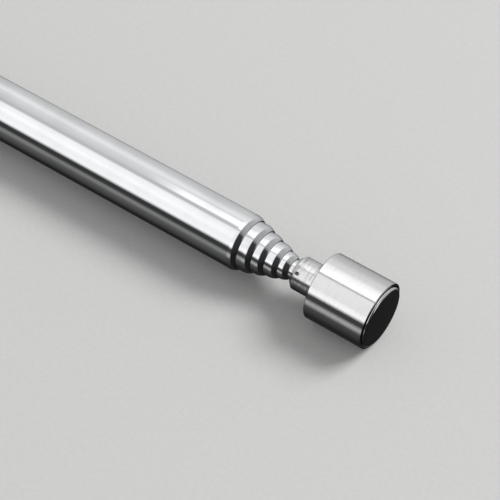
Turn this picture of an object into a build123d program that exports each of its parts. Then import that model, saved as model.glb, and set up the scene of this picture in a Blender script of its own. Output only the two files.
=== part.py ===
"""Pocket magnetic pickup tool: a six-section telescoping rod with a magnet on its tip.

The rod is pushed fully in and lies on its side. Its axis is the X axis, the magnet faces +X,
and the centre of the magnet's working face is the origin. Sizes are in millimetres.

Every inner section carries two spring leaves near its rear end. They sit in a groove between
two raised rims, grip the bore of the section outside, and slide along it. The section itself
turns inside its own leaves. The front rim meets the rolled nose of the section outside and
stops the section from pulling out.
"""

import math
import os

from build123d import *

# Telescoping sections, from the barrel (1) in to the rod (6)
barrel_od = 6.8
barrel_length = 110.0
section_wall = 0.26
radial_gap = 0.18  # from each section out to the bore that it runs in
mouth_clearance = 0.03
nose_length = 0.95
nose_face = 0.08  # flat left round the mouth
lip_round = 0.03
# How far sections 2 to 5 stand out of the nose of the section outside them
proud_lengths = (1.65, 1.41, 1.52, 1.16)
rod_shown = 0.50

# Guide at the rear of each inner section
rim_length = 0.70
rim_slope = 0.15
leaf_length = 6.0
leaf_clearance = 0.03  # radial, inside and outside the leaf, and over the rims
leaf_end_play = 0.05
leaf_arc = 160.0
spigot_wall = 0.40  # brass left round the rod's turned-down end
rivet_length = 0.40
rivet_overlap = 0.20
stop_clearance = 0.05

# Magnet and its holder
magnet_od = 7.2
magnet_length = 5.0
magnet_proud = 0.34
magnet_edge = 0.26
adhesive_gap = 0.15
adhesive_recess = 0.25
holder_lip = 0.25
holder_length = 7.31
holder_edge = 0.10
neck_wall = 0.80
neck_length = 3.45
neck_chamfer = 0.42
rod_past_neck = 0.80
stake_od = 0.50
stake_depth = 0.15
stake_from_chamfer = 0.40
stake_elevation = 50.0

# End cap
spigot_length = 5.0
spigot_chamfer = 0.40
rear_gap = 0.20
cap_rim = 0.15
cap_flange_length = 2.0
cap_dome_length = 1.6
cap_button_od = 5.0

# Pocket clip: one sheet, rolled into a band with a spring arm bent out of it
clip_thickness = 0.45
band_length = 7.0
band_seam = 0.70
arm_width = 4.0
arm_clearance = 0.03
arm_root = 2.5  # stretch of the arm that is one with the band
arm_rise_run = 3.0
arm_crest = 2.30  # from the barrel to the middle of the arm
arm_run = 24.0  # from the crest to where the arm turns down to its foot
arm_low = 1.35
arm_foot_run = 3.2
arm_tip_run = 2.8
arm_tip_rise = 1.3
arm_bend = 0.9
arm_corner = 1.4

# What follows from those sizes
section_step = 2 * (section_wall + radial_gap)
section_ods = [barrel_od - n * section_step for n in range(len(proud_lengths) + 2)]
rod_r = section_ods[-1] / 2
rim_height = radial_gap - leaf_clearance
leaf_thickness = radial_gap - 2 * leaf_clearance
groove_length = leaf_length + 2 * leaf_end_play
guide_length = 2 * rim_length + groove_length

holder_front = -magnet_proud
holder_back = holder_front - holder_length
neck_back = holder_back - neck_length
neck_r = rod_r + neck_wall
pocket_r = magnet_od / 2 + adhesive_gap
holder_r = pocket_r + holder_lip
magnet_back = -magnet_length
pocket_floor = magnet_back - adhesive_gap

# Front edge of each section's nose, from the barrel in
rod_mouth = neck_back - rod_shown
noses = [rod_mouth]
for proud in reversed(proud_lengths):
    noses.insert(0, noses[0] - proud)
shoulders = [front - nose_length for front in noses]
barrel_rear = noses[0] - barrel_length
sections_rear = barrel_rear + spigot_length + rear_gap
# Travel of sections 2 to 6, from pushed in to stopped by the nose outside
strokes = [shoulder - (sections_rear + guide_length) - stop_clearance for shoulder in shoulders]
strokes[-1] -= rivet_length

# The cap's flange backs the clip band, and is as large as the magnet's head so that the tool lies level
barrel_r = barrel_od / 2
band_r = barrel_r + clip_thickness
cap_r = max(holder_r, band_r + cap_rim)
# The clip leans down until one edge of its crest meets the surface that the tool lies on
crest_r = barrel_r + arm_crest + clip_thickness / 2
clip_lean = math.asin(cap_r / math.hypot(crest_r, arm_width / 2)) - math.atan2(arm_width / 2, crest_r)
clip_plane = Plane(
    origin=(0, 0, 0),
    x_dir=(1, 0, 0),
    z_dir=(0, math.sin(clip_lean), -math.cos(clip_lean)),
)

os.makedirs("parts", exist_ok=True)


def save(piece, name):
    """Labels a finished piece and writes it as the node of that name."""
    piece.part.label = name
    export_step(piece.part, f"parts/{name}.step")


def rim(start, radius):
    """Corners of one raised rim on a wall of this radius, from its rear end to its front."""
    return [
        (start, radius),
        (start + rim_slope, radius + rim_height),
        (start + rim_length - rim_slope, radius + rim_height),
        (start + rim_length, radius),
    ]


def section_tube(front, outer_r, rear, guided):
    """A drawn tube with its front end rolled in, and with a flare and a bead if it is guided."""
    bore_r = outer_r - section_wall
    mouth_r = bore_r - radial_gap + mouth_clearance
    shoulder = front - nose_length
    bead_start = rear + rim_length + groove_length
    walls = []
    for radius in (outer_r, bore_r):
        if guided:
            flare = [(rear, radius + rim_height), *rim(rear, radius)[2:]]
            walls.append([*flare, *rim(bead_start, radius)])
        else:
            walls.append([(rear, radius)])
    outside, inside = walls
    with BuildPart() as tube:
        with BuildSketch(Plane.XY):
            with BuildLine():
                wall = Polyline(*outside, (shoulder, outer_r))
                nose = TangentArc(wall @ 1, (front, mouth_r + nose_face), tangent=(1, 0))
                Polyline(nose @ 1, (front, mouth_r), (shoulder, bore_r), *reversed(inside), wall @ 0)
            make_face()
        revolve(axis=Axis.X)
        fillet(tube.edges().filter_by(GeomType.CIRCLE).group_by(Axis.X)[-1], radius=lip_round)
    return tube


def spring_leaf(section_r, groove_start, middle_angle):
    """One half-round phosphor bronze leaf in the groove of a section."""
    inner_r = section_r + leaf_clearance
    with BuildPart() as leaf:
        with BuildSketch(Plane.YZ.offset(groove_start + leaf_end_play)):
            with BuildLine():
                start = middle_angle - leaf_arc / 2
                inner = CenterArc((0, 0), inner_r, start, leaf_arc)
                outer = CenterArc((0, 0), inner_r + leaf_thickness, start, leaf_arc)
                Line(inner @ 0, outer @ 0)
                Line(inner @ 1, outer @ 1)
            make_face()
        extrude(amount=leaf_length)
    return leaf


# Barrel and the four tubes inside it
barrel = section_tube(noses[0], barrel_r, barrel_rear, guided=False)
save(barrel, "barrel_tube")
for number, (front, od) in enumerate(zip(noses[1:], section_ods[1:-1]), start=2):
    tube = section_tube(front, od / 2, sections_rear, guided=True)
    save(tube, f"section_{number}_tube")

# Rod: its rear end is turned down, carries the bush and is peened over behind it
bush_rear = sections_rear + rivet_length
bush_front = bush_rear + guide_length
rod_spigot_r = rod_r - spigot_wall
rod_front = holder_back + rod_past_neck
with BuildPart() as rod:
    with BuildSketch(Plane.XY):
        with BuildLine():
            Polyline(
                (sections_rear, 0),
                (sections_rear, rod_spigot_r + rivet_overlap),
                (bush_rear, rod_spigot_r + rivet_overlap),
                (bush_rear, rod_spigot_r),
                (bush_front, rod_spigot_r),
                (bush_front, rod_r),
                (rod_front, rod_r),
                (rod_front, 0),
                close=True,
            )
        make_face()
    revolve(axis=Axis.X)
save(rod, "section_6_rod")

with BuildPart() as bush:
    with BuildSketch(Plane.XY):
        with BuildLine():
            Polyline(
                (bush_rear, rod_spigot_r),
                (bush_rear, rod_r + rim_height),
                *rim(bush_rear, rod_r)[2:],
                *rim(bush_rear + rim_length + groove_length, rod_r)[:3],
                (bush_front, rod_r + rim_height),
                (bush_front, rod_spigot_r),
                close=True,
            )
        make_face()
    revolve(axis=Axis.X)
save(bush, "rod_bush")

# Two spring leaves on every inner section, one above and one below
for number, od in enumerate(section_ods[1:], start=2):
    guide_rear = bush_rear if number == len(section_ods) else sections_rear
    for side, middle_angle in (("upper", 90), ("lower", 270)):
        leaf = spring_leaf(od / 2, guide_rear + rim_length, middle_angle)
        save(leaf, f"spring_leaf_{number}_{side}")

# Magnet holder: a cup for the magnet and a neck with a socket that the rod is staked into
with BuildPart() as holder:
    with BuildSketch(Plane.XY):
        with BuildLine():
            Polyline(
                (neck_back, rod_r),
                (neck_back, neck_r - neck_chamfer),
                (neck_back + neck_chamfer, neck_r),
                (holder_back, neck_r),
                (holder_back, holder_r),
                (holder_front, holder_r),
                (holder_front, pocket_r),
                (pocket_floor, pocket_r),
                (pocket_floor, 0),
                (rod_front, 0),
                (rod_front, rod_r),
                close=True,
            )
        make_face()
    revolve(axis=Axis.X)
    fillet(holder.edges().filter_by(GeomType.CIRCLE).group_by(SortBy.RADIUS)[-1], radius=holder_edge)
    stake_x = neck_back + neck_chamfer + stake_from_chamfer
    stake_tilt = math.radians(stake_elevation)
    stake_direction = Vector(0, -math.cos(stake_tilt), math.sin(stake_tilt))
    stake_plane = Plane(Vector(stake_x, 0, 0) + stake_direction * neck_r, z_dir=-stake_direction)
    with Locations(stake_plane):
        Cone(stake_od / 2, 0, stake_depth, align=(Align.CENTER, Align.CENTER, Align.MIN), mode=Mode.SUBTRACT)
save(holder, "magnet_holder")

with BuildPart() as adhesive:
    with BuildSketch(Plane.XY):
        with BuildLine():
            Polyline(
                (pocket_floor, 0),
                (pocket_floor, pocket_r),
                (holder_front - adhesive_recess, pocket_r),
                (holder_front - adhesive_recess, magnet_od / 2),
                (magnet_back, magnet_od / 2),
                (magnet_back, 0),
                close=True,
            )
        make_face()
    revolve(axis=Axis.X)
save(adhesive, "magnet_adhesive")

with BuildPart() as magnet:
    with BuildSketch(Plane.YZ):
        Circle(magnet_od / 2)
    extrude(amount=-magnet_length)
    fillet(magnet.edges().filter_by(GeomType.CIRCLE).group_by(Axis.X)[-1], radius=magnet_edge)
save(magnet, "magnet")

# End cap: a spigot pressed into the barrel, a flange behind the clip band and a low dome
cap_spigot_r = barrel_r - section_wall
dome_start = barrel_rear - cap_flange_length
with BuildPart() as cap:
    with BuildSketch(Plane.XY):
        with BuildLine():
            front_edges = Polyline(
                (barrel_rear + spigot_length, 0),
                (barrel_rear + spigot_length, cap_spigot_r - spigot_chamfer),
                (barrel_rear + spigot_length - spigot_chamfer, cap_spigot_r),
                (barrel_rear, cap_spigot_r),
                (barrel_rear, cap_r),
                (dome_start, cap_r),
            )
            dome = TangentArc(
                front_edges @ 1,
                (dome_start - cap_dome_length, cap_button_od / 2),
                tangent=(-1, 0),
            )
            Polyline(dome @ 1, (dome_start - cap_dome_length, 0), front_edges @ 0)
        make_face()
    revolve(axis=Axis.X)
save(cap, "end_cap")

# Pocket clip: the arm rises from the band, runs forward and comes down to a curved foot
root_end = barrel_rear + band_length
crest_start = root_end + arm_rise_run
foot_start = crest_start + arm_run
foot = foot_start + arm_foot_run
touching_r = barrel_r + arm_clearance + clip_thickness / 2
with BuildPart() as clip:
    with BuildSketch(clip_plane):
        with BuildLine():
            middle = FilletPolyline(
                (root_end - arm_root, touching_r),
                (root_end, touching_r),
                (crest_start, barrel_r + arm_crest),
                (foot_start, barrel_r + arm_low),
                (foot, touching_r),
                (foot + arm_tip_run, touching_r + arm_tip_rise),
                radius=arm_bend,
            )
        trace(middle, line_width=clip_thickness)
    extrude(amount=arm_width / 2, both=True)
    end_corners = clip.edges().filter_by(GeomType.LINE).sort_by(SortBy.LENGTH)[:4]
    fillet(end_corners.sort_by(Axis.X)[-2:], radius=arm_corner)
    with BuildSketch(Plane.YZ.offset(barrel_rear)):
        Circle(band_r)
        Circle(barrel_r, mode=Mode.SUBTRACT)
    extrude(amount=band_length)
    with BuildSketch(clip_plane):
        with Locations((barrel_rear + band_length / 2, -band_r)):
            Rectangle(band_length, band_r)
    extrude(amount=band_seam / 2, both=True, mode=Mode.SUBTRACT)
save(clip, "pocket_clip")

print("Travel of sections 2 to 6:", [round(stroke, 3) for stroke in strokes])
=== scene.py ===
"""Looks of a pocket magnetic pickup tool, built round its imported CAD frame.

The tool lies on its side along X with the magnet facing +X. Sizes in this file are in
millimetres and angles in degrees unless a name says otherwise; meshes are in metres.
"""

import logging
import math
from dataclasses import dataclass
from enum import Enum
from typing import Any, Callable, Sequence

import bpy
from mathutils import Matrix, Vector


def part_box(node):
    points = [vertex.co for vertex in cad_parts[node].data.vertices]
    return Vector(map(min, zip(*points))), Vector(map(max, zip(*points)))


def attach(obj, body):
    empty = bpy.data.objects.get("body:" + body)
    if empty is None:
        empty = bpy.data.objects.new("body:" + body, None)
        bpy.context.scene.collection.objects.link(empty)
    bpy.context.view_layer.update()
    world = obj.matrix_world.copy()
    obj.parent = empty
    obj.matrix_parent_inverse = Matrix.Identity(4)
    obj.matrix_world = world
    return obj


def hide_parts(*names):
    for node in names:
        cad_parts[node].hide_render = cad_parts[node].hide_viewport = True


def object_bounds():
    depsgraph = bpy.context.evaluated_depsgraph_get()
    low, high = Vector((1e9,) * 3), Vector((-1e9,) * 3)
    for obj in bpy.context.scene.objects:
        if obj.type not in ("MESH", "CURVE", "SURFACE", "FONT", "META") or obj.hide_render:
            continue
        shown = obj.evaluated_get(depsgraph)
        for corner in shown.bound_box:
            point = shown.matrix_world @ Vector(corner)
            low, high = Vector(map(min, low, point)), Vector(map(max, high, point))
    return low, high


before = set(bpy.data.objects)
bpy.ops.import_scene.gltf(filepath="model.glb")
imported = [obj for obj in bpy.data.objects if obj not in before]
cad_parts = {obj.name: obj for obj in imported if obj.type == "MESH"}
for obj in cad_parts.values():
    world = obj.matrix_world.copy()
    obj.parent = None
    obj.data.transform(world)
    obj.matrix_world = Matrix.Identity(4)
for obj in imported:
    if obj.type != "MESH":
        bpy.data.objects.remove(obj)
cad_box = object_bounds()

log = logging.getLogger("pickup_tool")

MM = 0.001
ARC_STEPS = 6  # straight runs that stand for one rounded corner
NOSE_STEPS = 14  # straight runs that stand for a rolled nose or a dome
FINE_TURN = 192  # faces round a piece that is seen close up
SMALL_TURN = 128  # faces round the thin rod
SMOOTH_ANGLE = math.radians(32)
WELD = 1e-7  # metres; vertices nearer than this are one
NEAR = 1e-6  # metres; how near a place has to be to count as the one looked for
POLE = 1e-4  # mm; radius that stands for a point on the axis
SLIVER = 0.001  # mm; keeps a face that ends at a place on its own side of it
BEVEL_ANGLE = 0.9  # radians; edges sharper than this are rounded
BEND_STEPS = 8  # faces across a bend or a rounded corner of sheet
EDGE_STEPS = 3  # faces across a rounded edge of sheet


# ---------------------------------------------------------------- small tools


def linear(hex_colour: str) -> tuple[float, float, float, float]:
    """Turns an sRGB hex colour into the linear colour that a node takes.

    Args:
        hex_colour: Six hex digits after a hash, such as "#C8C9CC".

    Returns:
        Linear red, green and blue, and an alpha of 1.
    """
    channels = (int(hex_colour[i : i + 2], 16) / 255 for i in (1, 3, 5))
    red, green, blue = (c / 12.92 if c <= 0.04045 else ((c + 0.055) / 1.055) ** 2.4 for c in channels)
    return red, green, blue, 1.0


def add_node(
    tree: bpy.types.NodeTree, kind: str, inputs: dict[Any, Any] | None = None, **settings: Any
) -> Any:
    """Adds one node to a tree, with its settings and its inputs.

    Args:
        tree: The material's or the world's node tree.
        kind: Blender's name for the node.
        inputs: What goes into each socket: a value, or another node's output.
        **settings: Properties of the node itself.

    Returns:
        The new node.
    """
    node = tree.nodes.new(kind)
    for name, value in settings.items():
        setattr(node, name, value)
    for name, value in (inputs or {}).items():
        if isinstance(value, bpy.types.NodeSocket):
            tree.links.new(value, node.inputs[name])
        else:
            node.inputs[name].default_value = value
    return node


def select_only(obj: bpy.types.Object) -> None:
    """Makes an object the only selected one, and the active one."""
    bpy.ops.object.select_all(action="DESELECT")
    obj.select_set(True)
    bpy.context.view_layer.objects.active = obj


def edit(obj: bpy.types.Object, *steps: Callable[[], Any]) -> None:
    """Runs steps on an object in edit mode, and comes back to object mode.

    Args:
        obj: The mesh object to work on.
        *steps: Calls without arguments, made in order.
    """
    select_only(obj)
    bpy.ops.object.mode_set(mode="EDIT")
    for step in steps:
        step()
    bpy.ops.object.mode_set(mode="OBJECT")


def select_where(obj: bpy.types.Object, kind: str, test: Callable[[Any], bool]) -> int:
    """Selects the vertices, edges or faces of a mesh that pass a test, and no others.

    Args:
        obj: The mesh object, in object mode.
        kind: "VERT", "EDGE" or "FACE".
        test: Called with each element; for an edge or a vertex, with its centre.

    Returns:
        How many were selected.
    """
    edit(obj, lambda: bpy.ops.mesh.select_mode(type=kind), lambda: bpy.ops.mesh.select_all(action="DESELECT"))
    mesh = obj.data
    if kind == "VERT":
        chosen = [v for v in mesh.vertices if test(v.co)]
    elif kind == "EDGE":
        places = mesh.vertices
        chosen = [e for e in mesh.edges if test((places[e.vertices[0]].co + places[e.vertices[1]].co) / 2)]
    else:
        chosen = [f for f in mesh.polygons if test(f)]
    for element in chosen:
        element.select = True
    return len(chosen)


def apply_modifier(obj: bpy.types.Object, kind: str, **settings: Any) -> None:
    """Adds a modifier with its settings to an object and applies it.

    Args:
        obj: The mesh object.
        kind: Blender's name for the modifier.
        **settings: Properties of the modifier.
    """
    select_only(obj)
    modifier = obj.modifiers.new(kind.lower(), kind)
    for name, value in settings.items():
        setattr(modifier, name, value)
    bpy.ops.object.modifier_apply(modifier=modifier.name)


def new_mesh(name: str, add: Callable[..., Any], **settings: Any) -> bpy.types.Object:
    """Adds a simple mesh and applies its transform, so that it sits at the origin.

    Args:
        name: The new object's name.
        add: The operator that adds the mesh.
        **settings: What the operator is called with.

    Returns:
        The new object.
    """
    bpy.ops.object.select_all(action="DESELECT")
    add(**settings)
    obj = bpy.context.object
    obj.name = obj.data.name = name
    bpy.ops.object.transform_apply(location=True, rotation=True, scale=True)
    return obj


def smooth(obj: bpy.types.Object) -> None:
    """Shades the round stretches smooth, with normals that keep the long faces true."""
    select_only(obj)
    bpy.ops.object.shade_smooth_by_angle(angle=SMOOTH_ANGLE)
    apply_modifier(obj, "WEIGHTED_NORMAL", keep_sharp=True)


def close_and_smooth(obj: bpy.types.Object) -> None:
    """Merges doubles, turns faces outwards and shades the round stretches smooth."""
    edit(
        obj,
        lambda: bpy.ops.mesh.select_all(action="SELECT"),
        lambda: bpy.ops.mesh.remove_doubles(threshold=WELD),
        lambda: bpy.ops.mesh.normals_make_consistent(inside=False),
    )
    smooth(obj)


@dataclass(frozen=True)
class Corner:
    """A corner of a turned outline: distance along the axis, radius, and how far it is rounded."""

    x: float
    r: float
    round: float = 0.0

    def place(self) -> Vector:
        """The corner's place on the XZ plane, in millimetres."""
        return Vector((self.x, 0.0, max(self.r, POLE)))


def rounded(corners: Sequence[Corner]) -> list[Vector]:
    """Walks round a closed outline and turns its rounded corners into arcs.

    Args:
        corners: The outline's corners in order, the last joined to the first.

    Returns:
        Points on the XZ plane, in millimetres.
    """
    points = []
    count = len(corners)
    for index, corner in enumerate(corners):
        here = corner.place()
        if not corner.round:
            points.append(here)
            continue
        back = (corners[index - 1].place() - here).normalized()
        ahead = (corners[(index + 1) % count].place() - here).normalized()
        half = back.angle(ahead) / 2
        reach = corner.round / math.tan(half)
        centre = here + (back + ahead).normalized() * (corner.round / math.sin(half))
        first, last = here + back * reach - centre, here + ahead * reach - centre
        sweep = first.angle(last)
        for step in range(ARC_STEPS + 1):
            share = step / ARC_STEPS
            mix = first * math.sin((1 - share) * sweep) + last * math.sin(share * sweep)
            points.append(centre + mix / math.sin(sweep))
    return points


def turned(name: str, corners: Sequence[Corner], segments: int = FINE_TURN) -> bpy.types.Object:
    """Turns a closed outline about the tool's axis, as on a lathe.

    A small plane is shrunk to one vertex at the outline's first point, extruded from point to
    point, and spun round the X axis.

    Args:
        name: The new piece's name.
        corners: The outline's corners in order, in millimetres.
        segments: Faces round the piece.

    Returns:
        The finished mesh object, at the origin.
    """
    points = [point * MM for point in rounded(corners)]
    obj = new_mesh(name, bpy.ops.mesh.primitive_plane_add, size=MM, location=points[0])

    def draw_outline() -> None:
        """Extrudes the vertex along the outline and back to its start."""
        bpy.ops.mesh.select_all(action="SELECT")
        bpy.ops.mesh.merge(type="CENTER")
        for here, after in zip(points, points[1:] + points[:1]):
            bpy.ops.mesh.extrude_vertices_move(TRANSFORM_OT_translate={"value": after - here})
        bpy.ops.mesh.select_all(action="SELECT")
        bpy.ops.mesh.remove_doubles(threshold=WELD)

    def spin() -> None:
        """Spins the outline a full turn."""
        bpy.ops.mesh.spin(steps=segments, angle=math.tau, center=(0, 0, 0), axis=(1, 0, 0))

    edit(obj, draw_outline, spin)
    close_and_smooth(obj)
    return obj


def arc_inwards(length: float, drop: float) -> list[tuple[float, float]]:
    """Walks along an arc that leaves a straight wall and turns in towards the axis.

    Args:
        length: How far the arc runs along the axis.
        drop: How far it comes in.

    Returns:
        For each step, how far the arc has run and how far it has come in.
    """
    roll = (length**2 + drop**2) / (2 * drop)
    sweep = math.asin(length / roll)
    angles = [sweep * step / NOSE_STEPS for step in range(NOSE_STEPS + 1)]
    return [(roll * math.sin(angle), roll * (1 - math.cos(angle))) for angle in angles]


def rolled_nose(
    front: float, radius: float, length: float, mouth: float, face: float, lip: float
) -> list[Corner]:
    """Corners of a tube's rolled-in nose, from the straight wall to the mouth.

    Args:
        front: Where the nose ends along the axis.
        radius: The tube's outer radius.
        length: How far back the roll starts.
        mouth: Radius of the mouth.
        face: Width of the flat that is left round the mouth.
        lip: Rounding of the flat's two edges.

    Returns:
        The corners, from the roll's start to the mouth's edge.
    """
    arc = arc_inwards(length, radius - mouth - face)
    corners = [Corner(front - length + run, radius - fall) for run, fall in arc[:-1]]
    return [*corners, Corner(front, mouth + face, lip), Corner(front, mouth, lip)]


# ---------------------------------------------------------------- finishes


MICRON = MM * MM
HAZY = (0.42, 0.72)  # noise values between which a surface turns hazy
GROOVED = (0.52, 0.32)  # noise values between which a fine line deepens
LINE_DETAIL, RIPPLE_DETAIL, HAZE_DETAIL = 3.0, 1.0, 4.0  # octaves of the noises
GRAIN_ROUGHNESS = 0.6  # how strongly the finer octaves show
PIT_SLOPE = 3  # how many times wider a pit is at its rim than at its floor
PIT_ROUGHNESS = 0.3  # roughness added in a pit


def grain_scale(size_mm: float) -> float:
    """Noise scale, in object metres, that gives grain of about this size."""
    return 1 / (size_mm * MM)


def blank_material(name: str) -> tuple[bpy.types.Material, bpy.types.NodeTree, Any]:
    """Makes a material with nothing in it but the place on the piece.

    Args:
        name: The material's name, after the real one.

    Returns:
        The material, its node tree, and the output that holds the place.
    """
    material = bpy.data.materials.new(name)
    material.use_nodes = True
    tree = material.node_tree
    tree.nodes.clear()
    return material, tree, add_node(tree, "ShaderNodeTexCoord").outputs["Object"]


class Lay(Enum):
    """Which way a surface's fine lines run."""

    ALONG = (0.02, 1.0, 1.0)
    AROUND = (1.0, 0.02, 0.02)
    TICKS = (1.0, 0.16, 0.16)
    NONE = (1.0, 1.0, 1.0)


@dataclass(frozen=True)
class Metal:
    """A bare or plated metal surface: fine lines, ripples, haze and a few pits."""

    name: str
    colour: str
    shade: str  # colour of the haze, the pits and the bottoms of the lines
    roughness: float
    haze: float  # roughness added in the haziest patches
    haze_mm: float
    haze_tint: float  # how much of the shade colour the haze takes
    line_mm: float  # spacing of the fine lines
    line_um: float  # their depth
    line_tint: float  # how much of the shade colour the lines take
    line_roughness: float  # roughness added in the lines
    ripple_mm: float
    ripple_um: float
    lay: Lay
    pit_mm: float = 0.0  # size of the cells that may hold a pit; 0 for none
    pit_share: float = 0.05  # radius of a pit as a share of its cell
    pit_odds: float = 0.35  # share of the cells that hold one

    def pits(self, tree: bpy.types.NodeTree, where: Any) -> Any:
        """Adds scattered small pits.

        Args:
            tree: The material's node tree.
            where: The output that holds the place on the surface.

        Returns:
            An output that is 1 in a pit and 0 elsewhere.
        """
        spread = {"Vector": where, "Scale": grain_scale(self.pit_mm)}
        cells = add_node(tree, "ShaderNodeTexVoronoi", spread)
        floor = self.pit_share / PIT_SLOPE
        wall = {"Value": cells.outputs["Distance"], "From Min": self.pit_share, "From Max": floor}
        pit = add_node(tree, "ShaderNodeMapRange", wall, interpolation_type="SMOOTHSTEP").outputs[0]
        lot = add_node(tree, "ShaderNodeSeparateColor", {0: cells.outputs["Color"]}).outputs[0]
        odds = {0: lot, 1: self.pit_odds}
        drawn = add_node(tree, "ShaderNodeMath", odds, operation="LESS_THAN").outputs[0]
        return add_node(tree, "ShaderNodeMath", {0: pit, 1: drawn}, operation="MULTIPLY").outputs[0]

    def build(self) -> bpy.types.Material:
        """Makes the material.

        Returns:
            The material, ready to go on a piece.
        """
        material, tree, where = blank_material(self.name)
        lay = {"Vector": where, "Scale": self.lay.value}
        stretched = add_node(tree, "ShaderNodeMapping", lay).outputs[0]
        noises = []
        for place, size_mm, detail in (
            (stretched, self.line_mm, LINE_DETAIL),
            (where, self.ripple_mm, RIPPLE_DETAIL),
            (where, self.haze_mm, HAZE_DETAIL),
        ):
            grain = {"Vector": place, "Scale": grain_scale(size_mm)}
            grain |= {"Detail": detail, "Roughness": GRAIN_ROUGHNESS}
            noises.append(add_node(tree, "ShaderNodeTexNoise", grain).outputs["Fac"])
        lines, ripples, clouds = noises
        rough: Any = self.roughness
        stain: Any = 0.0
        for value, span, rougher, darker in (
            (clouds, HAZY, self.haze, self.haze_tint),
            (lines, GROOVED, self.line_roughness, self.line_tint),
        ):
            step = {"Value": value, "From Min": span[0], "From Max": span[1]}
            mask = add_node(tree, "ShaderNodeMapRange", step, interpolation_type="SMOOTHSTEP").outputs[0]
            duller = {0: mask, 1: rougher, 2: rough}
            rough = add_node(tree, "ShaderNodeMath", duller, operation="MULTIPLY_ADD").outputs[0]
            stained = {0: mask, 1: darker, 2: stain}
            stain = add_node(tree, "ShaderNodeMath", stained, operation="MULTIPLY_ADD").outputs[0]
        if self.pit_mm:
            pit = self.pits(tree, where)
            stain = add_node(tree, "ShaderNodeMath", {0: stain, 1: pit}, operation="MAXIMUM").outputs[0]
            duller = {0: pit, 1: PIT_ROUGHNESS, 2: rough}
            rough = add_node(tree, "ShaderNodeMath", duller, operation="MULTIPLY_ADD").outputs[0]
        tint = add_node(
            tree,
            "ShaderNodeMix",
            {"Factor": stain, 6: linear(self.colour), 7: linear(self.shade)},
            data_type="RGBA",
        ).outputs[2]
        rippled = add_node(tree, "ShaderNodeBump", {"Height": ripples, "Distance": self.ripple_um * MICRON})
        lined = {"Height": lines, "Distance": self.line_um * MICRON, "Normal": rippled.outputs[0]}
        normal = add_node(tree, "ShaderNodeBump", lined).outputs[0]
        shader = add_node(
            tree,
            "ShaderNodeBsdfPrincipled",
            {"Base Color": tint, "Metallic": 1.0, "Roughness": rough, "Normal": normal},
        )
        add_node(tree, "ShaderNodeOutputMaterial", {"Surface": shader.outputs[0]})
        return material


# Brass tube, drawn, polished and plated with nickel and chrome: a clean, nearly black-and-white
# mirror with faint lengthwise drawing lines and slight waves.
PLATED_TUBE = Metal(
    name="nickel_chrome_plated_drawn_tube",
    colour="#E4E5E7",
    shade="#C9CACC",
    roughness=0.05,
    haze=0.04,
    haze_mm=6.0,
    haze_tint=0.3,
    line_mm=0.35,
    line_um=0.15,
    line_tint=0.1,
    line_roughness=0.015,
    ripple_mm=7.0,
    ripple_um=9.0,
    lay=Lay.ALONG,
)

# Steel rod, centreless ground and plated: a little duller than the tubes, with lines round it.
PLATED_ROD = Metal(
    name="plated_ground_steel_rod",
    colour="#E0E1E3",
    shade="#C4C5C7",
    roughness=0.08,
    haze=0.05,
    haze_mm=3.0,
    haze_tint=0.4,
    line_mm=0.22,
    line_um=0.2,
    line_tint=0.15,
    line_roughness=0.03,
    ripple_mm=2.5,
    ripple_um=4.0,
    lay=Lay.AROUND,
)

# Free-cutting steel, turned, tumbled and nickel plated: a soft mirror whose reflections have
# ragged edges, with faint mottling and a few pits.
TUMBLED_NICKEL = Metal(
    name="nickel_plated_tumbled_steel",
    colour="#DADADA",
    shade="#8F8E8C",
    roughness=0.06,
    haze=0.03,
    haze_mm=0.9,
    haze_tint=0.05,
    line_mm=0.30,
    line_um=1.2,
    line_tint=0.07,
    line_roughness=0.02,
    ripple_mm=0.55,
    ripple_um=2.0,
    lay=Lay.TICKS,
    pit_mm=1.6,
    pit_share=0.085,
    pit_odds=0.3,
)

# The same steel where only the cutting tool touched it: satin, with short tool marks round it.
# The marks are drawn at 0.3 mm, coarser than the real feed, so that they show.
TOOL_MARKED_NICKEL = Metal(
    name="nickel_plated_turned_steel",
    colour="#D6D6D6",
    shade="#585858",
    roughness=0.15,
    haze=0.08,
    haze_mm=0.7,
    haze_tint=0.12,
    line_mm=0.30,
    line_um=5.0,
    line_tint=0.45,
    line_roughness=0.14,
    ripple_mm=0.6,
    ripple_um=6.0,
    lay=Lay.TICKS,
)

# What the parting tool cut: the groove at the foot of the neck and the back of the cup; the struck stake mark
# takes it too. It is torn and thinly plated, so it is rough. Its dark grey colour is painted shade, the shade
# in the groove, on the cup's back edge and in the stake mark, so that it reads as a dark grey line.
UNDERCUT_PAINTED_SHADE = Metal(
    name="parted_steel_painted_shade",
    colour="#6B6A68",
    shade="#2C2B2A",
    roughness=0.42,
    haze=0.2,
    haze_mm=0.4,
    haze_tint=0.5,
    line_mm=0.1,
    line_um=2.0,
    line_tint=0.4,
    line_roughness=0.2,
    ripple_mm=0.3,
    ripple_um=4.0,
    lay=Lay.AROUND,
)

# Sintered magnet, ground and nickel plated: a cool, slightly hazy mirror with faint scuffs.
PLATED_MAGNET = Metal(
    name="nickel_plated_sintered_magnet",
    colour="#DDDDDC",
    shade="#959594",
    roughness=0.055,
    haze=0.10,
    haze_mm=1.4,
    haze_tint=0.25,
    line_mm=0.2,
    line_um=0.05,
    line_tint=0.05,
    line_roughness=0.04,
    ripple_mm=1.1,
    ripple_um=0.8,
    lay=Lay.NONE,
    pit_mm=1.5,
    pit_share=0.05,
    pit_odds=0.25,
)

# Brass cap, turned and plated: as bright as the barrel, with faint marks round it.
PLATED_CAP = Metal(
    name="nickel_chrome_plated_turned_brass",
    colour="#E2E3E5",
    shade="#BEBFC1",
    roughness=0.065,
    haze=0.05,
    haze_mm=2.5,
    haze_tint=0.4,
    line_mm=0.24,
    line_um=0.5,
    line_tint=0.2,
    line_roughness=0.04,
    ripple_mm=1.5,
    ripple_um=4.0,
    lay=Lay.AROUND,
)

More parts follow.
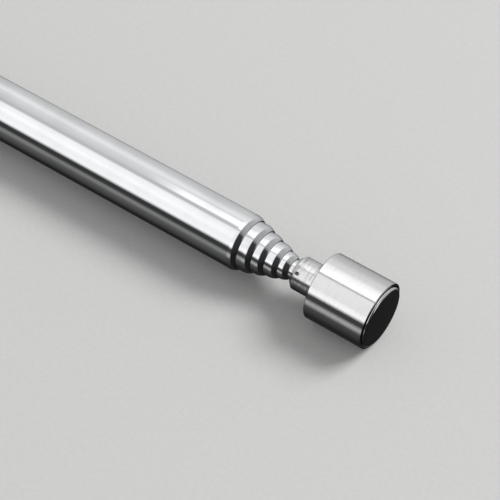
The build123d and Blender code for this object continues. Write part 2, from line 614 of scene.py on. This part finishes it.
# Spring steel strip, stamped, tumbled and plated: bright but soft, with scuffs along it.
PLATED_CLIP = Metal(
    name="nickel_plated_stamped_spring_steel",
    colour="#D8D9DA",
    shade="#9C9C9B",
    roughness=0.12,
    haze=0.10,
    haze_mm=2.0,
    haze_tint=0.4,
    line_mm=0.2,
    line_um=0.5,
    line_tint=0.2,
    line_roughness=0.06,
    ripple_mm=1.2,
    ripple_um=7.0,
    lay=Lay.ALONG,
    pit_mm=2.0,
    pit_share=0.05,
    pit_odds=0.2,
)

# Phosphor bronze strip, cold rolled and left bare: a warm brown-pink metal with rolling lines.
ROLLED_BRONZE = Metal(
    name="cold_rolled_phosphor_bronze",
    colour="#C98F66",
    shade="#8A5B3E",
    roughness=0.22,
    haze=0.14,
    haze_mm=1.5,
    haze_tint=0.5,
    line_mm=0.12,
    line_um=0.6,
    line_tint=0.3,
    line_roughness=0.1,
    ripple_mm=1.0,
    ripple_um=3.0,
    lay=Lay.ALONG,
)

# Free-cutting brass, turned and left bare: yellow, with tool marks round it.
TURNED_BRASS = Metal(
    name="bare_turned_brass",
    colour="#D8B46A",
    shade="#9A7638",
    roughness=0.18,
    haze=0.12,
    haze_mm=1.2,
    haze_tint=0.5,
    line_mm=0.14,
    line_um=0.9,
    line_tint=0.3,
    line_roughness=0.1,
    ripple_mm=1.0,
    ripple_um=3.0,
    lay=Lay.AROUND,
)


@dataclass(frozen=True)
class EpoxyPaintedShade:
    """Two-part epoxy, squeezed out and cured, whose near-black colour is painted shade for the narrow gap
    round the magnet: glossy, uneven, dusty in its low places.
    """

    name: str = "cured_epoxy_painted_shade"
    # Painted shade: the near-black stands for the shade in the narrow gap round the magnet
    colour: str = "#0B0B0C"
    dust: str = "#2A2826"
    roughness: float = 0.28
    dusty_roughness: float = 0.58
    ior: float = 1.55
    lump_mm: float = 0.45
    lump_um: float = 14.0

    def build(self) -> bpy.types.Material:
        """Makes the material.

        Returns:
            The material, ready to go on a piece.
        """
        material, tree, where = blank_material(self.name)
        lumps = add_node(
            tree, "ShaderNodeTexNoise", {"Vector": where, "Scale": grain_scale(self.lump_mm), "Detail": 4.0}
        ).outputs["Fac"]
        tint = add_node(
            tree,
            "ShaderNodeMix",
            {"Factor": lumps, 6: linear(self.dust), 7: linear(self.colour)},
            data_type="RGBA",
        ).outputs[2]
        rough = add_node(
            tree,
            "ShaderNodeMapRange",
            {"Value": lumps, "To Min": self.dusty_roughness, "To Max": self.roughness},
        ).outputs[0]
        bump = add_node(
            tree, "ShaderNodeBump", {"Height": lumps, "Distance": self.lump_um * MICRON}
        ).outputs[0]
        shader = add_node(
            tree,
            "ShaderNodeBsdfPrincipled",
            {"Base Color": tint, "Roughness": rough, "IOR": self.ior, "Normal": bump},
        )
        add_node(tree, "ShaderNodeOutputMaterial", {"Surface": shader.outputs[0]})
        return material


@dataclass(frozen=True)
class MattBoard:
    """Pale matt board under the tool: even and soft, with a very faint tooth."""

    name: str = "pale_matt_board"
    colour: str = "#DEDEDD"
    fleck: str = "#D4D4D3"
    roughness: float = 0.85
    specular: float = 0.2
    tooth_mm: float = 0.5
    tooth_um: float = 8.0
    tooth_strength: float = 0.5

    def build(self) -> bpy.types.Material:
        """Makes the material.

        Returns:
            The material, ready to go on the floor.
        """
        material, tree, where = blank_material(self.name)
        tooth = add_node(
            tree, "ShaderNodeTexNoise", {"Vector": where, "Scale": grain_scale(self.tooth_mm), "Detail": 3.0}
        ).outputs["Fac"]
        tint = add_node(
            tree,
            "ShaderNodeMix",
            {"Factor": tooth, 6: linear(self.fleck), 7: linear(self.colour)},
            data_type="RGBA",
        ).outputs[2]
        bump = add_node(
            tree,
            "ShaderNodeBump",
            {"Height": tooth, "Strength": self.tooth_strength, "Distance": self.tooth_um * MICRON},
        ).outputs[0]
        shader = add_node(
            tree,
            "ShaderNodeBsdfPrincipled",
            {
                "Base Color": tint,
                "Roughness": self.roughness,
                "Specular IOR Level": self.specular,
                "Normal": bump,
            },
        )
        add_node(tree, "ShaderNodeOutputMaterial", {"Surface": shader.outputs[0]})
        return material


# ---------------------------------------------------------------- the tool


def finish_piece(
    obj: bpy.types.Object, finishes: Sequence[bpy.types.Material], body: str, node: str
) -> None:
    """Dresses a finished piece and ties it to the frame.

    Args:
        obj: The piece.
        finishes: Its materials, in the order of its faces' material numbers.
        body: The CAD body that it rides on.
        node: The CAD node that it stands for.
    """
    for finish in finishes:
        obj.data.materials.append(finish)
    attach(obj, body)
    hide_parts(node)
    log.info("%s: %d faces, on %s", obj.name, len(obj.data.polygons), body)


@dataclass
class Telescope:
    """The barrel, the four tubes inside it and the thin rod."""

    wall: float = 0.26
    running_gap: float = 0.18
    mouth_clearance: float = 0.03
    nose_length: float = 0.95
    nose_face: float = 0.08
    lip_round: float = 0.03
    rim_height: float = 0.15
    rim_length: float = 0.70
    rim_slope: float = 0.15
    groove_length: float = 6.10
    spigot_wall: float = 0.40
    rivet_length: float = 0.40
    rivet_overlap: float = 0.20
    edge_round: float = 0.04
    names: tuple[str, ...] = ("barrel_shell", "second_tube", "third_tube", "fourth_tube", "fifth_tube")

    def rim(self, start: float, radius: float) -> list[Corner]:
        """Corners of one raised rim on a wall, from its rear end to its front."""
        top = radius + self.rim_height
        return [
            Corner(start, radius),
            Corner(start + self.rim_slope, top, self.edge_round),
            Corner(start + self.rim_length - self.rim_slope, top, self.edge_round),
            Corner(start + self.rim_length, radius),
        ]

    def wall_side(self, rear: float, radius: float, guided: bool) -> list[Corner]:
        """Corners along one side of a tube's wall, from its rear end forwards.

        Args:
            rear: Where the tube ends.
            radius: Radius of this side of the wall.
            guided: Whether the tube has a flare and a bead, as every inner one has.

        Returns:
            The corners, without those of the nose.
        """
        if not guided:
            return [Corner(rear, radius, self.edge_round)]
        flare = [Corner(rear, radius + self.rim_height, self.edge_round), *self.rim(rear, radius)[2:]]
        return [*flare, *self.rim(rear + self.rim_length + self.groove_length, radius)]

    def tube(self, name: str, node: str, outer: float, guided: bool) -> bpy.types.Object:
        """Turns one tube where its CAD node lies.

        Args:
            name: The new piece's name.
            node: The CAD node that it stands for.
            outer: The tube's outer radius.
            guided: Whether the tube has a flare and a bead.

        Returns:
            The tube.
        """
        low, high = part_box(node)
        rear, front = low.x / MM, high.x / MM
        bore = outer - self.wall
        mouth = bore - self.running_gap + self.mouth_clearance
        nose = rolled_nose(front, outer, self.nose_length, mouth, self.nose_face, self.lip_round)
        inside = [*self.wall_side(rear, bore, guided), Corner(front - self.nose_length, bore)]
        return turned(name, [*self.wall_side(rear, outer, guided), *nose, *reversed(inside)])

    def rod(self, name: str, radius: float) -> bpy.types.Object:
        """Turns the rod, with its turned-down rear end and the peened head behind the bush.

        Args:
            name: The new piece's name.
            radius: The rod's radius.

        Returns:
            The rod.
        """
        low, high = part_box("section_6_rod")
        bush_low, bush_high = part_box("rod_bush")
        rear, front = low.x / MM, high.x / MM
        spigot = radius - self.spigot_wall
        return turned(
            name,
            [
                Corner(rear, 0.0),
                Corner(rear, spigot + self.rivet_overlap, self.rivet_length / 4),
                Corner(bush_low.x / MM, spigot + self.rivet_overlap),
                Corner(bush_low.x / MM, spigot),
                Corner(bush_high.x / MM, spigot),
                Corner(bush_high.x / MM, radius, self.edge_round),
                Corner(front, radius, self.edge_round),
                Corner(front, 0.0),
            ],
            SMALL_TURN,
        )

    def build(self) -> None:
        """Makes and dresses the barrel, the four tubes and the rod."""
        plate = PLATED_TUBE.build()
        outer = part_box("barrel_tube")[1].z / MM
        for index, name in enumerate(self.names):
            node = f"section_{index + 1}_tube" if index else "barrel_tube"
            body = f"section_{index + 1}" if index else "barrel"
            piece = self.tube(name, node, outer, guided=bool(index))
            finish_piece(piece, [plate], body, node)
            outer -= self.wall + self.running_gap
        rod = self.rod("thin_rod", outer)
        finish_piece(rod, [PLATED_ROD.build()], "section_6", "section_6_rod")


@dataclass
class MagnetHead:
    """The turned holder on the rod's tip, the magnet in it and the epoxy that bonds it."""

    body: str = "section_6"
    neck_r: float = 2.0
    neck_length: float = 3.45
    neck_chamfer: float = 0.42
    undercut_width: float = 0.14
    undercut_depth: float = 0.07
    cup_edge: float = 0.10
    neck_edge: float = 0.05
    fine_edge: float = 0.03
    groove_edge: float = 0.02
    tumbled_from: float = 0.8  # share of the cup's rear rounding where its own finish starts; before it the rounding takes the painted shade
    meniscus: float = 0.05
    magnet_edge: float = 0.26
    rod_reach: float = 0.80
    stake_radius: float = 0.25
    stake_depth: float = 0.15
    stake_from_chamfer: float = 0.40
    stake_elevation: float = 50.0
    stake_skin: float = 0.02  # a face this far under the neck's surface belongs to the mark

    def holder(self) -> bpy.types.Object:
        """Turns the holder and strikes the stake mark on its neck.

        Returns:
            The holder.
        """
        low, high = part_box("magnet_holder")
        rod_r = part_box("section_6_rod")[1].z / MM
        adhesive_low, adhesive_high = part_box("magnet_adhesive")
        rear, front, cup_r = low.x / MM, high.x / MM, high.z / MM
        cup_rear = rear + self.neck_length
        pocket_r = adhesive_high.z / MM
        floor = adhesive_low.x / MM
        neck = self.neck_r
        groove = cup_rear - self.undercut_width
        holder = turned(
            "magnet_cup_and_neck",
            [
                Corner(rear, rod_r),
                Corner(rear, neck - self.neck_chamfer, self.fine_edge),
                Corner(rear + self.neck_chamfer, neck, self.neck_edge),
                Corner(groove, neck, self.groove_edge),
                Corner(groove, neck - self.undercut_depth),
                Corner(cup_rear, neck - self.undercut_depth),
                Corner(cup_rear, cup_r, self.cup_edge),
                Corner(front, cup_r, self.cup_edge / 2),
                Corner(front, pocket_r, self.fine_edge),
                Corner(floor, pocket_r),
                Corner(floor, 0.0),
                Corner(cup_rear + self.rod_reach, 0.0),
                Corner(cup_rear + self.rod_reach, rod_r),
            ],
        )
        self.strike_stake(holder, rear)
        shallow = (neck - self.stake_skin) * MM
        # The tumbled cup is 0, the turned neck 1, and what was struck or parted off 2, which is painted dark
        # as the shade in the groove, on the cup's back edge and in the stake mark
        for face in holder.data.polygons:
            x, off_axis = face.center.x / MM, math.hypot(face.center.y, face.center.z)
            in_stake = x > rear + self.neck_chamfer and off_axis < shallow
            if x > cup_rear + self.cup_edge * self.tumbled_from:
                face.material_index = 0
            elif x < groove - SLIVER and not in_stake:
                face.material_index = 1
            else:
                face.material_index = 2
        return holder

    def strike_stake(self, holder: bpy.types.Object, rear: float) -> None:
        """Cuts the small conical mark of the stake that holds the rod.

        Args:
            holder: The turned holder.
            rear: Where the neck ends along the axis.
        """
        tilt = math.radians(self.stake_elevation)
        outwards = Vector((0.0, -math.cos(tilt), math.sin(tilt)))
        x = rear + self.neck_chamfer + self.stake_from_chamfer
        tip = Vector((x, 0.0, 0.0)) + outwards * (self.neck_r - self.stake_depth)
        # The cutter is twice as tall and wide as the mark, so its base stands clear of the neck
        height = 2 * self.stake_depth
        bpy.ops.object.select_all(action="DESELECT")
        bpy.ops.mesh.primitive_cone_add(
            vertices=32,
            radius1=2 * self.stake_radius * MM,
            radius2=0,
            depth=height * MM,
            location=(tip + outwards * height / 2) * MM,
            rotation=(-outwards).to_track_quat("Z", "Y").to_euler(),
        )
        cutter = bpy.context.object
        apply_modifier(holder, "BOOLEAN", operation="DIFFERENCE", object=cutter, solver="EXACT")
        bpy.data.objects.remove(cutter)
        select_only(holder)
        bpy.ops.mesh.customdata_custom_splitnormals_clear()
        smooth(holder)

    def adhesive(self) -> bpy.types.Object:
        """Turns the epoxy bed, with a hollow meniscus in the ring round the magnet.

        Returns:
            The epoxy.
        """
        low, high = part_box("magnet_adhesive")
        magnet_low, magnet_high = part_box("magnet")
        floor, front, outer = low.x / MM, high.x / MM, high.z / MM
        inner = magnet_high.z / MM
        middle = (inner + outer) / 2
        return turned(
            "epoxy_bed",
            [
                Corner(floor, 0.0),
                Corner(floor, outer),
                Corner(front, outer),
                Corner(front - self.meniscus, middle, self.meniscus),
                Corner(front, inner),
                Corner(magnet_low.x / MM, inner),
                Corner(magnet_low.x / MM, 0.0),
            ],
        )

    def magnet(self) -> bpy.types.Object:
        """Turns the magnet, with its two tumbled edges.

        Returns:
            The magnet.
        """
        low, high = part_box("magnet")
        back, face, radius = low.x / MM, high.x / MM, high.z / MM
        return turned(
            "disc_magnet",
            [
                Corner(back, 0.0),
                Corner(back, radius, self.magnet_edge / 2),
                Corner(face, radius, self.magnet_edge),
                Corner(face, 0.0),
            ],
        )

    def build(self) -> None:
        """Makes and dresses the holder, the epoxy and the magnet."""
        # The third finish is painted shade for the groove, the cup's back edge and the stake mark
        nickel = [finish.build() for finish in (TUMBLED_NICKEL, TOOL_MARKED_NICKEL, UNDERCUT_PAINTED_SHADE)]
        finish_piece(self.holder(), nickel, self.body, "magnet_holder")
        # The epoxy's near-black colour is painted shade for the gap round the magnet
        finish_piece(self.adhesive(), [EpoxyPaintedShade().build()], self.body, "magnet_adhesive")
        finish_piece(self.magnet(), [PLATED_MAGNET.build()], self.body, "magnet")


@dataclass
class Tail:
    """The end cap and the pocket clip."""

    body: str = "barrel"
    flange_length: float = 2.0
    dome_length: float = 1.6
    button_r: float = 2.5
    spigot_chamfer: float = 0.40
    waist_depth: float = 0.12
    waist_width: float = 0.30
    recess_r: float = 1.6
    recess_depth: float = 0.12
    edge: float = 0.08
    clip_thickness: float = 0.45
    clip_width: float = 4.0
    clip_clearance: float = 0.03
    clip_corner: float = 1.4
    clip_bend: float = 0.5
    clip_edge: float = 0.09
    root_length: float = 2.5
    rise_run: float = 3.0
    crest: float = 2.30
    arm_run: float = 24.0
    low_point: float = 1.35
    foot_run: float = 3.2
    tip_run: float = 2.8
    tip_rise: float = 1.3
    band_length: float = 7.0
    band_seam: float = 0.70

    def cap(self) -> bpy.types.Object:
        """Turns the end cap: spigot, flange, a fine waist, a dome and a dished button.

        Returns:
            The cap.
        """
        low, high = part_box("end_cap")
        barrel_low, barrel_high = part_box("barrel_tube")
        rear, front, flange_r = low.x / MM, high.x / MM, high.z / MM
        bore = barrel_high.z / MM - Telescope.wall
        seat = barrel_low.x / MM
        dome_start = seat - self.flange_length
        waist_r = flange_r - self.waist_depth
        # The dome's side is an arc that starts along the axis and ends at the button
        arc = arc_inwards(self.dome_length, flange_r - self.button_r)
        dome = [Corner(dome_start - run, flange_r - fall) for run, fall in arc[1:]]
        waist_end = dome_start + self.waist_width
        return turned(
            "end_cap_turned",
            [
                Corner(front, 0.0),
                Corner(front, bore - self.spigot_chamfer),
                Corner(front - self.spigot_chamfer, bore),
                Corner(seat, bore),
                Corner(seat, flange_r, self.edge),
                Corner(waist_end, flange_r, self.edge / 2),
                Corner(waist_end - self.edge, waist_r),
                Corner(dome_start + self.edge, waist_r),
                Corner(dome_start, flange_r),
                *dome,
                Corner(rear, self.recess_r, self.edge / 2),
                Corner(rear + self.recess_depth, self.recess_r - self.recess_depth, self.edge / 2),
                Corner(rear + self.recess_depth, 0.0),
            ],
        )

    def arm_strip(self, barrel_r: float, root_end: float) -> bpy.types.Object:
        """Bends the clip's arm out of a strip, standing above the barrel.

        Args:
            barrel_r: The barrel's radius.
            root_end: Where the band ends and the arm leaves it.

        Returns:
            The arm, of full thickness, with rounded tip and edges.
        """
        flat = barrel_r + self.clip_clearance + self.clip_thickness / 2
        crest_x = root_end + self.rise_run
        foot_start = crest_x + self.arm_run
        foot = foot_start + self.foot_run
        path = [
            Vector((root_end - self.root_length, 0.0, flat)),
            Vector((root_end, 0.0, flat)),
            Vector((crest_x, 0.0, barrel_r + self.crest)),
            Vector((foot_start, 0.0, barrel_r + self.low_point)),
            Vector((foot, 0.0, flat)),
            Vector((foot + self.tip_run, 0.0, flat + self.tip_rise)),
        ]
        half = self.clip_width / 2
        arm = new_mesh(
            "clip_arm_strip",
            bpy.ops.mesh.primitive_plane_add,
            size=self.clip_width * MM,
            location=(path[0] - Vector((half, 0, 0))) * MM,
        )
        start_x = path[0].x * MM
        select_where(arm, "VERT", lambda co: co.x < start_x - WELD)
        edit(arm, lambda: bpy.ops.mesh.delete(type="VERT"), lambda: bpy.ops.mesh.select_all(action="SELECT"))

        def follow_path() -> None:
            """Extrudes the strip's end edge from bend to bend."""
            bpy.ops.mesh.select_mode(type="EDGE")
            bpy.ops.mesh.select_all(action="SELECT")
            for here, after in zip(path, path[1:]):
                bpy.ops.mesh.extrude_region_move(TRANSFORM_OT_translate={"value": (after - here) * MM})

        edit(arm, follow_path)
        bends = [point.x * MM for point in path[1:-1]]
        select_where(
            arm, "EDGE", lambda co: abs(co.y) < WELD and any(abs(co.x - bend) < NEAR for bend in bends)
        )
        rounding = {"offset": self.clip_bend * MM, "segments": BEND_STEPS, "affect": "EDGES"}
        edit(arm, lambda: bpy.ops.mesh.bevel(**rounding))
        tip = path[-1].x * MM
        select_where(arm, "VERT", lambda co: co.x > tip - NEAR)
        cutting = {"offset": self.clip_corner * MM, "segments": BEND_STEPS, "affect": "VERTICES"}
        edit(arm, lambda: bpy.ops.mesh.bevel(**cutting))
        self.thicken(arm)
        return arm

    def thicken(self, sheet: bpy.types.Object) -> None:
        """Gives a strip of the clip its thickness and its rounded edges."""
        apply_modifier(sheet, "SOLIDIFY", thickness=self.clip_thickness * MM, offset=0.0)
        sharp = {"limit_method": "ANGLE", "angle_limit": BEVEL_ANGLE}
        apply_modifier(sheet, "BEVEL", width=self.clip_edge * MM, segments=EDGE_STEPS, **sharp)

    def band(self, barrel_r: float, rear: float) -> bpy.types.Object:
        """Rolls the clip's band, with its open seam below.

        Args:
            barrel_r: The barrel's radius.
            rear: Where the band starts.

        Returns:
            The band, of full thickness.
        """
        middle = barrel_r + self.clip_thickness / 2
        band = new_mesh(
            "clip_band_strip",
            bpy.ops.mesh.primitive_cylinder_add,
            vertices=FINE_TURN,
            radius=middle * MM,
            depth=self.band_length * MM,
            end_fill_type="NOTHING",
            location=((rear + self.band_length / 2) * MM, 0, 0),
            rotation=(0, math.pi / 2, 0),
        )
        seam = self.band_seam / 2 * MM
        select_where(band, "FACE", lambda face: face.center.z < 0 and abs(face.center.y) < seam)
        edit(band, lambda: bpy.ops.mesh.delete(type="FACE"))
        self.thicken(band)
        return band

    def clip(self) -> bpy.types.Object:
        """Makes the clip from its band and its arm, and leans it until its crest meets the floor.

        Returns:
            The clip.
        """
        barrel_low, barrel_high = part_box("barrel_tube")
        barrel_r = barrel_high.z / MM
        rear = barrel_low.x / MM
        cap_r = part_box("end_cap")[1].z / MM
        clip = self.arm_strip(barrel_r, rear + self.band_length)
        band = self.band(barrel_r, rear)
        apply_modifier(clip, "BOOLEAN", operation="UNION", object=band, solver="EXACT")
        bpy.data.objects.remove(band)
        clip.name = clip.data.name = "pocket_clip_sheet"
        crest_r = barrel_r + self.crest + self.clip_thickness / 2
        half = self.clip_width / 2
        lean = math.asin(cap_r / math.hypot(crest_r, half)) - math.atan2(half, crest_r)
        # Without a window the operator turns the other way, so the angle is negative
        edit(
            clip,
            lambda: bpy.ops.mesh.select_all(action="SELECT"),
            lambda: bpy.ops.transform.rotate(
                value=-(math.pi / 2 + lean), orient_axis="X", orient_type="GLOBAL", center_override=(0, 0, 0)
            ),
        )
        close_and_smooth(clip)
        return clip

    def build(self) -> None:
        """Makes and dresses the cap and the clip."""
        finish_piece(self.cap(), [PLATED_CAP.build()], self.body, "end_cap")
        finish_piece(self.clip(), [PLATED_CLIP.build()], self.body, "pocket_clip")


@dataclass
class Guides:
    """The spring leaves and the rod's bush, whose CAD shapes are right and stay."""

    leaf_mark: str = "spring_leaf"
    bush: str = "rod_bush"

    def build(self) -> None:
        """Dresses the CAD nodes in bronze and brass."""
        bronze = ROLLED_BRONZE.build()
        brass = TURNED_BRASS.build()
        for name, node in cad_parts.items():
            material = bronze if name.startswith(self.leaf_mark) else brass if name == self.bush else None
            if material:
                node.data.materials.clear()
                node.data.materials.append(material)
                log.info("%s: CAD shape, new finish", name)


# ---------------------------------------------------------------- the studio


@dataclass(frozen=True)
class Panel:
    """A stretch of the light tent, by its angle round the tool's axis.

    Angles run from the far side of the tool (0) over its top (90) to the near side (180).
    Between one panel and the next the brightness changes evenly.
    """

    start: float
    end: float
    level: float
    end_level: float | None = None


@dataclass(frozen=True)
class Zone:
    """A length of the tent, from a direction's X part onwards, with its panels."""

    start_x: float
    soft: float
    panels: tuple[Panel, ...]


BACK_WALL = (
    Panel(-88, -48, 0.02, 0.25),
    Panel(-20, -4, 0.58, 0.67),
    Panel(12, 16, 0.73, 0.75),
    Panel(36, 46, 1.0),
    Panel(52, 54, 0.86),
)
# A gap that shows as a thin grey line, a wide softbox, the dark room, and the glossy table's
# faint image of both
NEAR_SIDE = (
    Panel(85, 93, 0.62),
    Panel(99, 122, 1.10, 1.27),
    Panel(140, 159, 1.13, 1.20),
    Panel(170, 184, 0.045),
    Panel(195, 199, 0.25),
    Panel(213, 250, 0.115, 0.024),
    Panel(268, 269, 0.009),
)
TENT = (
    # Far end: the rear softbox stops, and the wall behind it shows
    Zone(-1.0, 0.0, (*BACK_WALL, Panel(60, 80, 0.83, 0.72), *NEAR_SIDE)),
    Zone(-0.403, 0.010, (*BACK_WALL, Panel(59, 79, 1.22, 1.4), *NEAR_SIDE)),
    # Near the head the softboxes are nearer to each other, and the table shines more
    Zone(
        -0.358,
        0.003,
        (
            Panel(-88, -48, 0.015, 0.13),
            Panel(-28, -16, 0.36, 0.53),
            Panel(0, 12, 0.64, 0.70),
            Panel(34, 46, 0.93, 0.96),
            Panel(59, 88, 1.3, 1.6),
            Panel(92, 94, 0.62),
            Panel(98, 142, 1.12, 1.09),
            Panel(149, 160, 1.28, 1.36),
            Panel(171, 184, 0.06),
            Panel(195, 200, 0.48),
            Panel(213, 250, 0.085, 0.022),
        ),
    ),
    # In front of the head the tent is open: pale behind, dark above the table and towards the room
    Zone(
        0.10,
        0.05,
        (
            Panel(-88, -44, 0.012, 0.02),
            Panel(-28, 8, 0.45, 0.58),
            Panel(28, 50, 0.52, 0.46),
            Panel(60, 92, 0.50, 0.38),
            Panel(108, 170, 0.05, 0.03),
            Panel(190, 268, 0.015),
        ),
    ),
    # Straight in front hangs a small softbox, which the magnet's rounded edge catches
    Zone(
        0.82,
        0.06,
        (
            Panel(-88, -20, 0.012, 0.03),
            Panel(20, 30, 0.35, 0.50),
            Panel(40, 100, 1.2),
            Panel(126, 130, 0.15),
            Panel(170, 268, 0.03, 0.015),
        ),
    ),
)


@dataclass
class Studio:
    """Floor, light and camera."""

    floor_size: float = 3.0  # metres
    floor_gap: float = 0.02
    backdrop: str = "#DADADA"
    fill: float = 0.42
    key_watts: float = 10.5
    key_size: float = 0.55  # metres
    key_distance: float = 1.25  # metres
    key_azimuth: float = 145.0
    key_elevation: float = 47.0
    azimuth: float = 35.0
    elevation: float = 51.7
    distance: float = 220.0
    lens: float = 143.1
    clip_start: float = 0.01  # metres
    aim_x: float = -17.4
    aim_drop: float = 0.52

    def floor(self) -> None:
        """Lays the pale board under the tool."""
        level = cad_box[0].z - self.floor_gap * MM
        bpy.ops.object.select_all(action="DESELECT")
        bpy.ops.mesh.primitive_plane_add(size=self.floor_size, location=(0, 0, level))
        board = bpy.context.object
        board.name = board.data.name = "studio_board"
        board.data.materials.append(MattBoard().build())
        # The tent wraps below the tool too, so its plating shows the tent and not the board
        board.visible_glossy = False

    def tone(self, tree: bpy.types.NodeTree, place: Any, panels: Sequence[Panel]) -> Any:
        """Adds the ramp that gives the tent's brightness by angle.

        Args:
            tree: The world's node tree.
            place: The output that holds the angle, from 0 at -90 degrees to 1 at 270.
            panels: The tent's panels in order of angle.

        Returns:
            The ramp's colour output.
        """
        ramp = add_node(tree, "ShaderNodeValToRGB", {"Fac": place})
        stops = []
        for panel in panels:
            last = panel.level if panel.end_level is None else panel.end_level
            stops += [(panel.start, panel.level), (panel.end, last)]
        elements = ramp.color_ramp.elements
        while len(elements) < len(stops):
            elements.new(0.5)
        for element, (angle, level) in zip(elements, stops):
            element.position = (angle + 90) / 360
            element.color = (level, level, level, 1.0)
        return ramp.outputs["Color"]

    def tent(self) -> None:
        """Builds the light tent as the world, with an even fill for matt surfaces."""
        world = bpy.data.worlds.new("light_tent")
        bpy.context.scene.world = world
        world.use_nodes = True
        tree = world.node_tree
        tree.nodes.clear()
        direction = add_node(tree, "ShaderNodeTexCoord").outputs["Generated"]
        parts = add_node(tree, "ShaderNodeSeparateXYZ", {0: direction})
        along = parts.outputs["X"]
        flip = {0: parts.outputs["Y"], 1: -1.0}
        near = add_node(tree, "ShaderNodeMath", flip, operation="MULTIPLY").outputs[0]
        sides = {0: near, 1: parts.outputs["Z"]}
        angle = add_node(tree, "ShaderNodeMath", sides, operation="ARCTAN2").outputs[0]
        full_turn = {"Value": angle, "From Min": -math.pi, "From Max": math.pi}
        place = add_node(tree, "ShaderNodeMapRange", full_turn).outputs[0]
        light = self.tone(tree, place, TENT[0].panels)
        for zone in TENT[1:]:
            low, high = zone.start_x - zone.soft, zone.start_x + zone.soft
            step = {"Value": along, "From Min": low, "From Max": high}
            share = add_node(tree, "ShaderNodeMapRange", step, interpolation_type="SMOOTHSTEP").outputs[0]
            mix = {"Factor": share, 6: light, 7: self.tone(tree, place, zone.panels)}
            light = add_node(tree, "ShaderNodeMix", mix, data_type="RGBA").outputs[2]
        path = add_node(tree, "ShaderNodeLightPath")
        even = (self.fill, self.fill, self.fill, 1.0)
        matt = {"Factor": path.outputs["Is Diffuse Ray"], 6: light, 7: even}
        light = add_node(tree, "ShaderNodeMix", matt, data_type="RGBA").outputs[2]
        seen = {"Factor": path.outputs["Is Camera Ray"], 6: light, 7: linear(self.backdrop)}
        light = add_node(tree, "ShaderNodeMix", seen, data_type="RGBA").outputs[2]
        background = add_node(tree, "ShaderNodeBackground", {"Color": light, "Strength": 1.0})
        add_node(tree, "ShaderNodeOutputWorld", {"Surface": background.outputs[0]})

    def outwards(self, azimuth: float, elevation: float) -> Vector:
        """Direction from the tool, by azimuth and elevation, where azimuth 0 is the -Y side."""
        turn, tilt = math.radians(azimuth), math.radians(elevation)
        return Vector((math.sin(turn) * math.cos(tilt), -math.cos(turn) * math.cos(tilt), math.sin(tilt)))

    def key(self) -> None:
        """Hangs the soft key light behind the tool, so that its shadow falls towards the camera."""
        data = bpy.data.lights.new("key_softbox", "AREA")
        data.shape = "SQUARE"
        data.size = self.key_size
        data.energy = self.key_watts
        lamp = bpy.data.objects.new("key_softbox", data)
        bpy.context.scene.collection.objects.link(lamp)
        back = self.outwards(self.key_azimuth, self.key_elevation)
        lamp.location = Vector((self.aim_x * MM, 0, 0)) + back * self.key_distance
        lamp.rotation_euler = back.to_track_quat("Z", "Y").to_euler()
        lamp.visible_camera = False
        lamp.visible_glossy = False

    def camera(self) -> None:
        """Sets the camera above and in front of the magnet's end."""
        data = bpy.data.cameras.new("product_camera")
        data.lens = self.lens
        data.clip_start = self.clip_start
        camera = bpy.data.objects.new("product_camera", data)
        bpy.context.scene.collection.objects.link(camera)
        back = self.outwards(self.azimuth, self.elevation)
        turn = back.to_track_quat("Z", "Y")
        aim = Vector((self.aim_x, 0, 0)) - turn @ Vector((0, self.aim_drop, 0))
        camera.location = (aim + back * self.distance) * MM
        camera.rotation_euler = turn.to_euler()
        bpy.context.scene.camera = camera

    def build(self) -> None:
        """Sets up the floor, the light and the camera."""
        bpy.context.scene.view_settings.view_transform = "Standard"
        self.camera()
        self.floor()
        self.tent()
        self.key()
        log.info("studio ready")


def main() -> None:
    """Builds the tool and its studio, and reports each piece."""
    logging.basicConfig(level=logging.INFO, format="%(name)s: %(message)s")
    for assembly in (Studio(), Telescope(), MagnetHead(), Tail(), Guides()):
        assembly.build()


if __name__ == "__main__":
    main()
